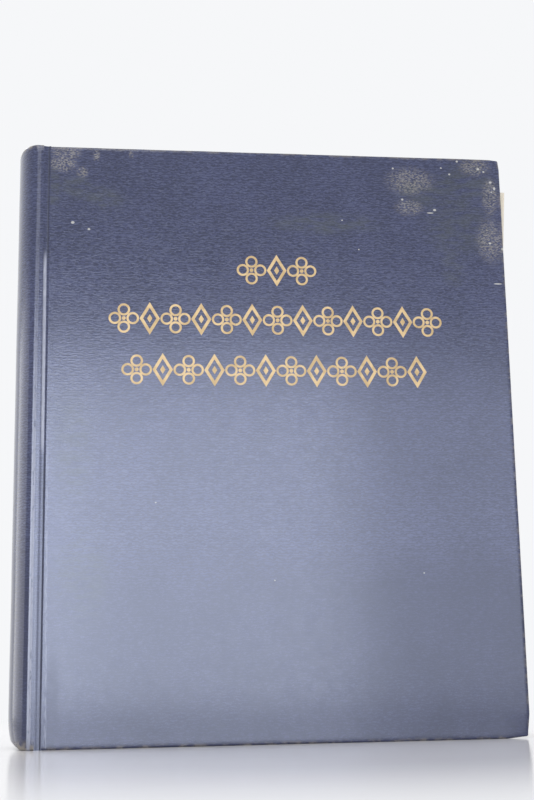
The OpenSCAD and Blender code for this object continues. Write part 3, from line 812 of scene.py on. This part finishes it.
def joint_cloth(name, side, material):
    """Cloth pressed into the groove, which bends between the spine and its cover."""
    shape = flat_sheet((FLANGE_END_X, 0), (PANEL_X, COVER_H), -FACE_Y)
    bisect_at(shape, 0, between(FLANGE_END_X, PANEL_X, 0.3 * MM))
    bisect_at(shape, 2, between(0, COVER_H, 4 * MM))
    for vert in shape.verts:
        share = (vert.co.x - FLANGE_END_X) / (PANEL_X - FLANGE_END_X)
        uneven = 0.35 + 0.3 * vert.co.z / COVER_H + 0.1 * noise.noise((1, side, vert.co.z * 35))
        off_crease = (vert.co.x - RIDGE_X - CREASE) / (0.5 * MM)
        hollow = math.sin(math.pi * share)
        pressed = 0.6 * hollow ** 2 + 0.4 * math.exp(-off_crease * off_crease) * hollow
        vert.co.y += GROOVE_DEPTH * pressed * uneven
    map_flat(shape)
    thicken(shape, CLOTH_T)
    if side > 0:
        mirrored(shape)
    piece = finish_piece(name + "_pressed", shape, material, sharp=80)
    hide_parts(name)
    return piece


def spine_line():
    """The spine's outline from above: a half oval behind the ridges with a flat flange at each end."""
    shape = bmesh.new()
    bmesh.ops.create_circle(shape, segments=96, radius=1)
    bmesh.ops.delete(shape, geom=[v for v in shape.verts if v.co.x > 1e-6], context="VERTS")
    bmesh.ops.scale(shape, vec=(RIDGE_X - SPINE_LEFT, FACE_Y, 1), verts=shape.verts)
    bmesh.ops.translate(shape, vec=(RIDGE_X, 0, 0), verts=shape.verts)
    return shape


def add_flanges(shape):
    """Draws the line on from both ridges to the edges of the grooves."""
    ends = [v for v in shape.verts if len(v.link_edges) == 1]
    drawn = bmesh.ops.extrude_vert_indiv(shape, verts=ends)
    bmesh.ops.translate(shape, vec=(FLANGE_END_X - RIDGE_X, 0, 0), verts=drawn["verts"])
    bmesh.ops.subdivide_edges(shape, edges=drawn["edges"], cuts=3)


def draw_up(shape, stations):
    """Draws a line up through stations, each (height, inset from the spine's outer face), as an open skin."""
    height, inset = 0, 0
    line = shape.edges[:]
    reach = RIDGE_X - SPINE_LEFT
    for index, (new_height, new_inset) in enumerate(stations):
        if index:
            drawn = bmesh.ops.extrude_edge_only(shape, edges=line)["geom"]
            verts = [g for g in drawn if isinstance(g, bmesh.types.BMVert)]
            fresh = set(verts)
            line = [g for g in drawn if isinstance(g, bmesh.types.BMEdge) and fresh.issuperset(g.verts)]
        else:
            verts = shape.verts[:]
        shrink = ((reach - new_inset) / (reach - inset), (FACE_Y - new_inset) / (FACE_Y - inset), 1)
        about = Matrix.Translation((-RIDGE_X, 0, 0))
        bmesh.ops.scale(shape, vec=shrink, space=about, verts=verts)
        bmesh.ops.translate(shape, vec=(0, 0, new_height - height), verts=verts)
        height, inset = new_height, new_inset


def crush(shape):
    """Lifts the tail of the spine where standing has crushed it, and slackens the long straight lines."""
    for vert in shape.verts:
        behind = max(0, min(1, (RIDGE_X - 3 * MM - vert.co.x) / (7 * MM)))
        near_tail = max(0, 1 - vert.co.z / (16 * MM))
        vert.co.z += 3.6 * MM * behind * near_tail ** 2
        vert.co.x += 1.4 * MM * behind * near_tail ** 2
        near_head = max(0, 1 - (SPINE_H - vert.co.z) / (12 * MM))
        vert.co.z += 0.5 * MM * behind * near_head ** 2 * noise.noise((0, vert.co.y * 90, 3))
        vert.co.x += 0.12 * MM * behind * noise.noise((0, 4, vert.co.z * 22))


def spine_cloth(material):
    """Cloth of the spine with rolled caps, turn-ins and the raised shoulder ridges."""
    turned_in = [(14, 2.6), (8, 2.6), (3, 2.6), (1, 2.55), (0.4, 2.3)]
    roll = turned_in + [(0.1, 1.8), (0, 1.2), (0.15, 0.6), (0.5, 0.2), (1.1, 0)]
    tail = [(z * MM, inset * MM) for z, inset in roll]
    head = [(SPINE_H - z, inset) for z, inset in reversed(tail)]
    shape = spine_line()
    add_flanges(shape)
    draw_up(shape, tail + [(z, 0) for z in between(tail[-1][0], head[0][0], 4 * MM)] + head)
    for vert in shape.verts:
        off_ridge = (vert.co.x - RIDGE_X) / (0.9 * MM)
        raised = 0.15 + 0.25 * min(1, max(0, (SPINE_H - vert.co.z) / (100 * MM)))
        vert.co.y += math.copysign(raised * MM * math.exp(-off_ridge * off_ridge), vert.co.y)
    bmesh.ops.recalc_face_normals(shape, faces=shape.faces)
    thicken(shape, CLOTH_T)
    crush(shape)
    piece = finish_piece("spine_cloth_rolled", shape, material, sharp=60)
    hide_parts("spine_cloth")
    return piece


def spine_liner(name, inset, thickness, low, high, material):
    """A curved layer inside the spine's cloth, crushed at the tail with it."""
    shape = spine_line()
    draw_up(shape, [(z, inset) for z in [low] + between(low, high, 4 * MM) + [high]])
    thicken(shape, thickness)
    crush(shape)
    piece = finish_piece(name + "_curved", shape, material, sharp=60)
    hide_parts(name)
    return piece


def inner_hinge(name, side, material):
    """Cloth from the bar's edge to the inside of the board, which bends between the spine and its cover."""
    strip_t = 0.35 * MM
    fold_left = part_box("front_inner_hinge")[0].x
    shape = flat_sheet((fold_left, bar_low.z), (GLUE_X, bar_high.z), -INNER_Y)
    bisect_at(shape, 0, between(fold_left, GLUE_X, 0.8 * MM))
    bisect_at(shape, 2, between(bar_low.z, bar_high.z, 12 * MM))
    map_flat(shape)
    thicken(shape, strip_t)
    if side > 0:
        mirrored(shape)
    piece = finish_piece(name + "_strip", shape, material, sharp=60)
    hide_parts(name)
    return piece


def hinge_tab(name, side, material):
    """The strip's end, folded round the bar's left edge and riveted to the bar."""
    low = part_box("front_inner_hinge")[0]
    tab_t = 0.4 * MM
    tab_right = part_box("front_bar_rivets")[1].x + 0.9 * MM
    shape = block((low.x, -INNER_Y, bar_low.z), (low.x + tab_t, -BAR_Y, bar_high.z))
    tab = block((low.x, -BAR_Y - tab_t, bar_low.z), (tab_right, -BAR_Y, bar_high.z))
    mesh = bpy.data.meshes.new("tab")
    tab.to_mesh(mesh)
    tab.free()
    shape.from_mesh(mesh)
    bpy.data.meshes.remove(mesh)
    map_flat(shape)
    if side > 0:
        mirrored(shape)
    return finish_piece(name + "_tab", shape, material)


# ---- Paper ----


def cockle(x, z):
    """How far the shared waviness of the leaves pushes them back at a place."""
    reach = max(0, (x - BAR_RIGHT) / (LEAF_RIGHT - BAR_RIGHT))
    wave = math.sin(z * 24 + x * 6 + 0.6) + 0.45 * math.sin(z * 51 - x * 13)
    return 0.36 * MM * reach * wave


def cockle_shape(shape):
    """Gives a flat paper piece the leaves' waviness."""
    for vert in shape.verts:
        vert.co.y += cockle(vert.co.x, vert.co.z)


def mark_fronts(shape):
    """Marks the faces that look to the front, which carry the prints."""
    front = shape.faces.layers.float.new("front")
    for face in shape.faces:
        face.normal_update()
        face[front] = float(face.normal.y < -0.5)


def punched_leaf(left, right, low, top, y, thickness, across, up):
    """One leaf with square-cut post holes under the bars, cut at places across and up."""
    shape = flat_sheet((left, low), (right, top), y)
    hole_x = [POST_X - POST_HOLE, POST_X + POST_HOLE]
    hole_z = [z + way * POST_HOLE for z in POST_ZS for way in (-1, 1)]
    bisect_at(shape, 0, hole_x + across)
    bisect_at(shape, 2, hole_z + up)
    holes = []
    for face in shape.faces:
        middle = face.calc_center_median()
        if abs(middle.x - POST_X) < POST_HOLE and any(abs(middle.z - z) < POST_HOLE for z in POST_ZS):
            holes.append(face)
    bmesh.ops.delete(shape, geom=holes, context="FACES")
    map_flat(shape)
    thicken(shape, thickness)
    mark_fronts(shape)
    return shape


def turning_leaf(name, material):
    """A whole leaf from its clamped margin over the fold to the fore-edge."""
    low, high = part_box(name)
    fold = fold_of(name)
    across = between(fold - 2 * MM, fold + BEND_REACH, 1 * MM) + between(fold + BEND_REACH, high.x, 13 * MM)
    up = between(low.z, high.z, 13 * MM)
    across.append(fold - 2 * MM)
    shape = punched_leaf(LEAF_LEFT, high.x, low.z, high.z, low.y, high.y - low.y, across, up)
    cockle_shape(shape)
    piece = finish_piece(name + "_whole", shape, material, sharp=50)
    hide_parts(name, "leaf_binding_margins")
    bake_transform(piece)


def glassine_leaf(name, leaf, material):
    """Glassine sheet that turns with its leaf."""
    low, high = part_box(name)
    fold = fold_of(leaf)
    shape = flat_sheet((low.x, low.z), (high.x, high.z), low.y)
    bent_to = fold + BEND_REACH
    bisect_at(shape, 0, between(low.x, bent_to, 1 * MM) + between(bent_to, high.x, 13 * MM))
    bisect_at(shape, 2, between(low.z, high.z, 13 * MM))
    map_flat(shape)
    thicken(shape, 0.06 * MM)
    cockle_shape(shape)
    piece = finish_piece(name + "_sheet", shape, material, sharp=50)
    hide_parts(name)
    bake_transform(piece)


# Printing inks of the stamps
INKS = [
    "#9A2B33", "#2F5D46", "#2C477E", "#6B4A2E", "#5A3A6E",
    "#B5642A", "#3C6F78", "#7A7A34", "#8A3F5C", "#44484E",
]


def perforated(width, height):
    """One stamp's blank at the origin, its edge toothed by the perforation."""
    pitch = 1.7 * MM
    tooth = 0.38 * MM
    shape = flat_sheet((-width / 2, -height / 2), (width / 2, height / 2), 0)
    layer = shape.loops.layers.uv.verify()
    for length, axis in ((width, 0), (height, 2)):
        teeth = round(length / pitch)
        along = [e for e in shape.edges if abs(e.verts[0].co[axis] - e.verts[1].co[axis]) > length / 2]
        bmesh.ops.subdivide_edges(shape, edges=along, cuts=2 * teeth - 1)
    shape.verts.ensure_lookup_table()
    for axis, half, length in ((0, height / 2, width), (2, width / 2, height)):
        other = 2 - axis
        teeth = round(length / pitch)
        for vert in shape.verts:
            number = round((vert.co[axis] + length / 2) / length * 2 * teeth)
            if number % 2 and abs(abs(vert.co[other]) - half) < tooth / 4:
                vert.co[other] -= math.copysign(tooth, vert.co[other])
    for face in shape.faces:
        for loop in face.loops:
            loop[layer].uv = (loop.vert.co.x / width + 0.5, loop.vert.co.z / height + 0.5)
    thicken(shape, 0.1 * MM)
    return shape


def stamps(name, leaf, body, material):
    """The mounted stamps of one leaf, each with its own ink and design and slightly off square."""
    columns, rows, width, height = LAYOUTS[body]
    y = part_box(name)[0].y
    fold = fold_of(leaf)
    step_x = (LEAF_RIGHT - fold - 24 * MM) / columns
    step_z = (LEAF_TOP - LEAF_LOW - 46 * MM) / rows
    blank = perforated(width, height)
    shape = bmesh.new()
    ink = shape.faces.layers.float_color.new("ink")
    design = shape.faces.layers.float.new("design")
    mesh = bpy.data.meshes.new("blank")
    blank.to_mesh(mesh)
    blank.free()
    for row in range(rows):
        row_ink = draw.choice(INKS)
        row_design = draw.random()
        for column in range(columns):
            known_verts, known_faces = len(shape.verts), len(shape.faces)
            shape.from_mesh(mesh)
            shape.verts.ensure_lookup_table()
            shape.faces.ensure_lookup_table()
            fresh = shape.verts[known_verts:]
            centre = (fold + 14 * MM + (column + 0.5) * step_x, y, LEAF_LOW + 14 * MM + (row + 0.5) * step_z)
            turn = Matrix.Rotation(math.radians(draw.uniform(-0.8, 0.8)), 3, "Y")
            bmesh.ops.rotate(shape, matrix=turn, verts=fresh)
            bmesh.ops.translate(shape, vec=centre, verts=fresh)
            colour = linear(row_ink if draw.random() < 0.35 else draw.choice(INKS))
            for face in shape.faces[known_faces:]:
                face[ink] = colour
                face[design] = row_design
    bpy.data.meshes.remove(mesh)
    cockle_shape(shape)
    piece = finish_piece(name + "_mounted", shape, material)
    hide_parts(name)
    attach(piece, body)


def leaf_stack(name, pitch, material):
    """A block's leaves as separate sheets, each trimmed, toned and settled a little differently."""
    low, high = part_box(name)
    count = round((high.y - low.y) / pitch)
    across = [BAR_RIGHT] + between(BAR_RIGHT, LEAF_RIGHT, 32 * MM)
    up = between(LEAF_LOW, LEAF_TOP, 32 * MM)
    shape = bmesh.new()
    tone = shape.faces.layers.float.new("tone")
    front = shape.faces.layers.float.new("front")
    for index in range(count):
        right = LEAF_RIGHT + draw.gauss(0, 0.3) * MM
        bottom = LEAF_LOW + draw.gauss(0, 0.2) * MM
        top = LEAF_TOP + draw.gauss(0, 0.25) * MM
        y = low.y + (high.y - low.y) * index / count
        leaf = punched_leaf(LEAF_LEFT, right, bottom, top, y, draw.uniform(0.72, 0.92) * pitch, across, up)
        mesh = bpy.data.meshes.new("leaf")
        leaf.to_mesh(mesh)
        leaf.free()
        known = len(shape.faces)
        shape.from_mesh(mesh)
        bpy.data.meshes.remove(mesh)
        shape.faces.ensure_lookup_table()
        sheet_tone = draw.random()
        for face in shape.faces[known:]:
            face[tone] = sheet_tone
            face[front] = face[front] if index == 0 else 0
    cockle_shape(shape)
    piece = finish_piece(name + "_sheets", shape, material, sharp=50)
    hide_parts(name)
    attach(piece, "spine")


def back_flyleaf(material):
    """The last leaf behind the block."""
    low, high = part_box("back_flyleaf")
    across, up = between(BAR_RIGHT, high.x, 20 * MM), between(low.z, high.z, 20 * MM)
    shape = punched_leaf(low.x, high.x, low.z, high.z, low.y, high.y - low.y, across, up)
    cockle_shape(shape)
    piece = finish_piece("back_flyleaf_whole", shape, material, sharp=50)
    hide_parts("back_flyleaf")
    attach(piece, "spine")


def loose_sheet(material):
    """Loose sheet inside the front cover, bowed a little in its middle and tilted a little in its plane."""
    low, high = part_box("loose_sheet")
    width, height, tilt, thickness = 215.9 * MM, 279.4 * MM, math.radians(4.2), 0.2 * MM
    shape = flat_sheet((-width, -height), (0, 0), 0)
    bisect_at(shape, 0, between(-width, 0, 10 * MM))
    bisect_at(shape, 2, between(-height, 0, 10 * MM))
    for vert in shape.verts:
        bow = math.sin(math.pi * vert.co.z / height) ** 2
        vert.co.y += 0.5 * MM * bow * math.sin(math.pi * vert.co.x / width) ** 2
    map_flat(shape)
    thicken(shape, thickness)
    bmesh.ops.rotate(shape, matrix=Matrix.Rotation(tilt, 3, "Y"), verts=shape.verts)
    top = max(v.co.z for v in shape.verts)
    corner_z = high.z - top
    bmesh.ops.translate(shape, vec=(high.x, low.y, corner_z), verts=shape.verts)
    piece = finish_piece("loose_sheet_curled", shape, material, sharp=50)
    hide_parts("loose_sheet")
    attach(piece, "loose")


# ---- Finishes on carried-over parts ----


def refinish(node_name, material, edge=0.0):
    """Gives a CAD part its finish and, where edge is set, slightly broken edges."""
    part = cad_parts[node_name]
    part.data.materials.clear()
    part.data.materials.append(material)
    if edge:
        weld = part.modifiers.new("weld", "WELD")
        weld.merge_threshold = 0.002 * MM
        broken = part.modifiers.new("broken_edges", "BEVEL")
        broken.width = edge
        broken.segments = 2
        broken.limit_method = "ANGLE"
        broken.angle_limit = math.radians(40)


# ---- Stage, light and camera ----


def studio_floor():
    """Pale table top that fades into the white surround."""
    made, tree, shader = start_material("table_top")
    place = place_on(tree, "Object")
    streaks = grain_noise(tree, place, (70, 3, 3), detail=3)
    share = add(tree, "MapRange", {0: streaks, 1: 0.3, 2: 0.7}, **EASED)
    colour = add(tree, "Mix", {0: share, 6: "#ECEAEB", 7: "#F0EEEF"}, **IN_COLOUR)
    plug(tree, shader, {"Base Color": colour, "Roughness": 0.16})
    flat = add(tree, "VectorMath", {0: place, 1: (1, 1, 0)}, operation="MULTIPLY")
    reach = add(tree, "VectorMath", {0: flat}, output="Value", operation="LENGTH")
    glow = tree.nodes.new("ShaderNodeEmission")
    plug(tree, glow, {"Color": SURROUND, "Strength": 1.0})
    fade = add(tree, "MapRange", {0: reach, 1: FLOOR_NEAR, 2: FLOOR_FAR}, **EASED)
    mixed = add(tree, "MixShader", {0: fade, 1: shader.outputs[0], 2: glow.outputs[0]})
    plug(tree, tree.nodes["Material Output"], {"Surface": mixed})
    shape = bmesh.new()
    bmesh.ops.create_circle(shape, cap_ends=True, segments=64, radius=FLOOR_SIZE)
    mesh = bpy.data.meshes.new("table_top")
    shape.to_mesh(mesh)
    shape.free()
    mesh.materials.append(made)
    floor = bpy.data.objects.new("table_top", mesh)
    bpy.context.scene.collection.objects.link(floor)


def soft_light(name, centre, aim, size, power, colour="#FFFFFF", gloss_only=False):
    """An unseen rectangular soft box that faces a point; a gloss-only one adds reflections alone."""
    lamp = bpy.data.lights.new(name, "AREA")
    lamp.shape = "RECTANGLE"
    lamp.size, lamp.size_y = size
    lamp.energy = power
    lamp.color = linear(colour)[:3]
    box = bpy.data.objects.new(name, lamp)
    box.location = centre
    box.rotation_euler = (Vector(aim) - Vector(centre)).to_track_quat("-Z", "Y").to_euler()
    box.visible_camera = False
    box.visible_diffuse = not gloss_only
    bpy.context.scene.collection.objects.link(box)


def studio_camera():
    """Camera just above the table, left of the middle and looking up at the cover."""
    lens = bpy.data.cameras.new("camera")
    lens.sensor_width, lens.lens = 36, 58.6
    camera = bpy.data.objects.new("camera", lens)
    yaw, pitch, roll = math.radians(-7.137), math.radians(11.629), math.radians(-1.038)
    turned = Matrix.Rotation(yaw, 4, "Z") @ Matrix.Rotation(math.pi / 2 + pitch, 4, "X")
    place = Matrix.Translation((-83.14 * MM, -671.85 * MM, 36.44 * MM))
    camera.matrix_world = place @ turned @ Matrix.Rotation(roll, 4, "Z")
    bpy.context.scene.collection.objects.link(camera)
    bpy.context.scene.camera = camera


SURROUND = "#F6F7F9"
FLOOR_NEAR, FLOOR_FAR, FLOOR_SIZE = 0.16, 0.4, 0.42

world = bpy.data.worlds.new("surround")
world.use_nodes = True
world.node_tree.nodes["Background"].inputs["Color"].default_value = linear(SURROUND)
bpy.context.scene.world = world
bpy.context.scene.view_settings.view_transform = "Standard"
studio_floor()
studio_camera()
# Name, place along X, width and power of the boxes that the front cover reflects, side by side
GLOSS_BOXES = [
    ("left_gloss", -0.41, 0.62, 16.5),
    ("middle_gloss", 0.125, 0.45, 9.6),
    ("right_gloss", 0.6, 0.5, 4.8),
]
for name, x, width, power in GLOSS_BOXES:
    soft_light(name, (x, -1.6, 0.16), (x, 0, 0.16), (width, 0.84), power, "#DEE8FF", gloss_only=True)
soft_light("side_gloss", (-1.4, 0.25, 0.15), (-0.12, 0, 0.15), (2.0, 0.9), 10, gloss_only=True)
soft_light("front_box", (-0.3, -1.2, 1.5), (0, 0, 0.15), (0.8, 0.8), 6)
soft_light("rear_box", (-0.9, 1.1, 1.6), (0, 0, 0.15), (0.8, 0.8), 8)

# ---- The album ----

front_cloth = book_cloth("front_book_cloth", wear=front_wear)
back_cloth = book_cloth("back_book_cloth", wear=back_wear)
round_cloth = book_cloth("spine_book_cloth", wear=spine_wear)
groove_cloth = book_cloth("groove_book_cloth", "UV", wear=joint_wear)
buckram = woven_cloth("hinge_buckram", "#232742", "#4D5270", 0.55)
card = binders_board()
panel_rim = ((GLUE_X, TURN_IN), (FORE_X - TURN_IN, COVER_H - TURN_IN), 16 * MM)
leaf_rim = ((LEAF_LEFT, LEAF_LOW), (LEAF_RIGHT, LEAF_TOP), 9 * MM)
end_paper = paper("end_paper", "#E2D6B6", "#CDBB91", "Object", panel_rim)
album_paper = paper("album_paper", "#EDE4CB", "#DFD2B0", "UV", leaf_rim)
stacked_paper = leaf_edges(framed_places("stamp_leaf_4", LAYOUTS["leaf_1"]))
rolled_steel = plated_steel("rolled_steel", (0.5, 0.5, 26))
turned_steel = plated_steel("turned_steel", (1.4, 1.4, 1.4))

for side, front_or_back in enumerate(("front", "back")):
    cloth, knocks = ((front_cloth, FRONT_KNOCKS), (back_cloth, BACK_KNOCKS))[side]
    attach(cover_board(front_or_back + "_board", knocks, side, card), front_or_back + "_cover")
    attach(cover_cloth(front_or_back + "_cover_cloth", knocks, side, cloth), front_or_back + "_cover")
    groove = joint_cloth(front_or_back + "_joint_cloth", side, groove_cloth)
    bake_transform(groove)
    strip = inner_hinge(front_or_back + "_inner_hinge", side, buckram)
    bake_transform(strip)
    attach(hinge_tab(front_or_back + "_inner_hinge", side, buckram), "spine")
    refinish(front_or_back + "_pastedown", end_paper)
    refinish(front_or_back + "_shoulder_strip", card)
    refinish(front_or_back + "_binding_bar", rolled_steel, 0.25 * MM)
    refinish(front_or_back + "_bar_rivets", turned_steel, 0.1 * MM)

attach(spine_cloth(round_cloth), "spine")
former = spine_liner("spine_former", CLOTH_T, FORMER_T, CLOTH_T, SPINE_H - CLOTH_T, card)
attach(former, "spine")
lining_low, lining_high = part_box("spine_lining")
inset = CLOTH_T + FORMER_T
lining = spine_liner("spine_lining", inset, LINING_T, lining_low.z, lining_high.z, end_paper)
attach(lining, "spine")
refinish("front_gilt_ornament", gilt_foil())
refinish("guard_strips", card)
for place in ("upper", "lower"):
    refinish(place + "_post", turned_steel, 0.15 * MM)
    refinish(place + "_post_screw", turned_steel, 0.15 * MM)

stamp_finish = stamp_print()
glassine_finish = glassine_paper()
for leaf, body in TURNING_LEAVES.items():
    finish = album_paper
    if leaf == "title_leaf":
        finish = paper("title_paper", "#EDE4CB", "#DFD2B0", "UV", leaf_rim, title_prints)
    elif body in LAYOUTS:
        boxes = framed_places(leaf, LAYOUTS[body])
        finish = paper("album_paper_" + body, "#EDE4CB", "#DFD2B0", "UV", leaf_rim, boxes)
        stamps("stamps_" + body, leaf, body, stamp_finish)
        glassine_leaf("glassine_" + body, leaf, glassine_finish)
    turning_leaf(leaf, finish)
for half in ("front", "back"):
    leaf_stack("leaf_block_" + half, 0.36 * MM, stacked_paper)
back_flyleaf(album_paper)
loose_sheet(paper("loose_paper", "#F1E9DA", "#E3D6BC", "UV"))
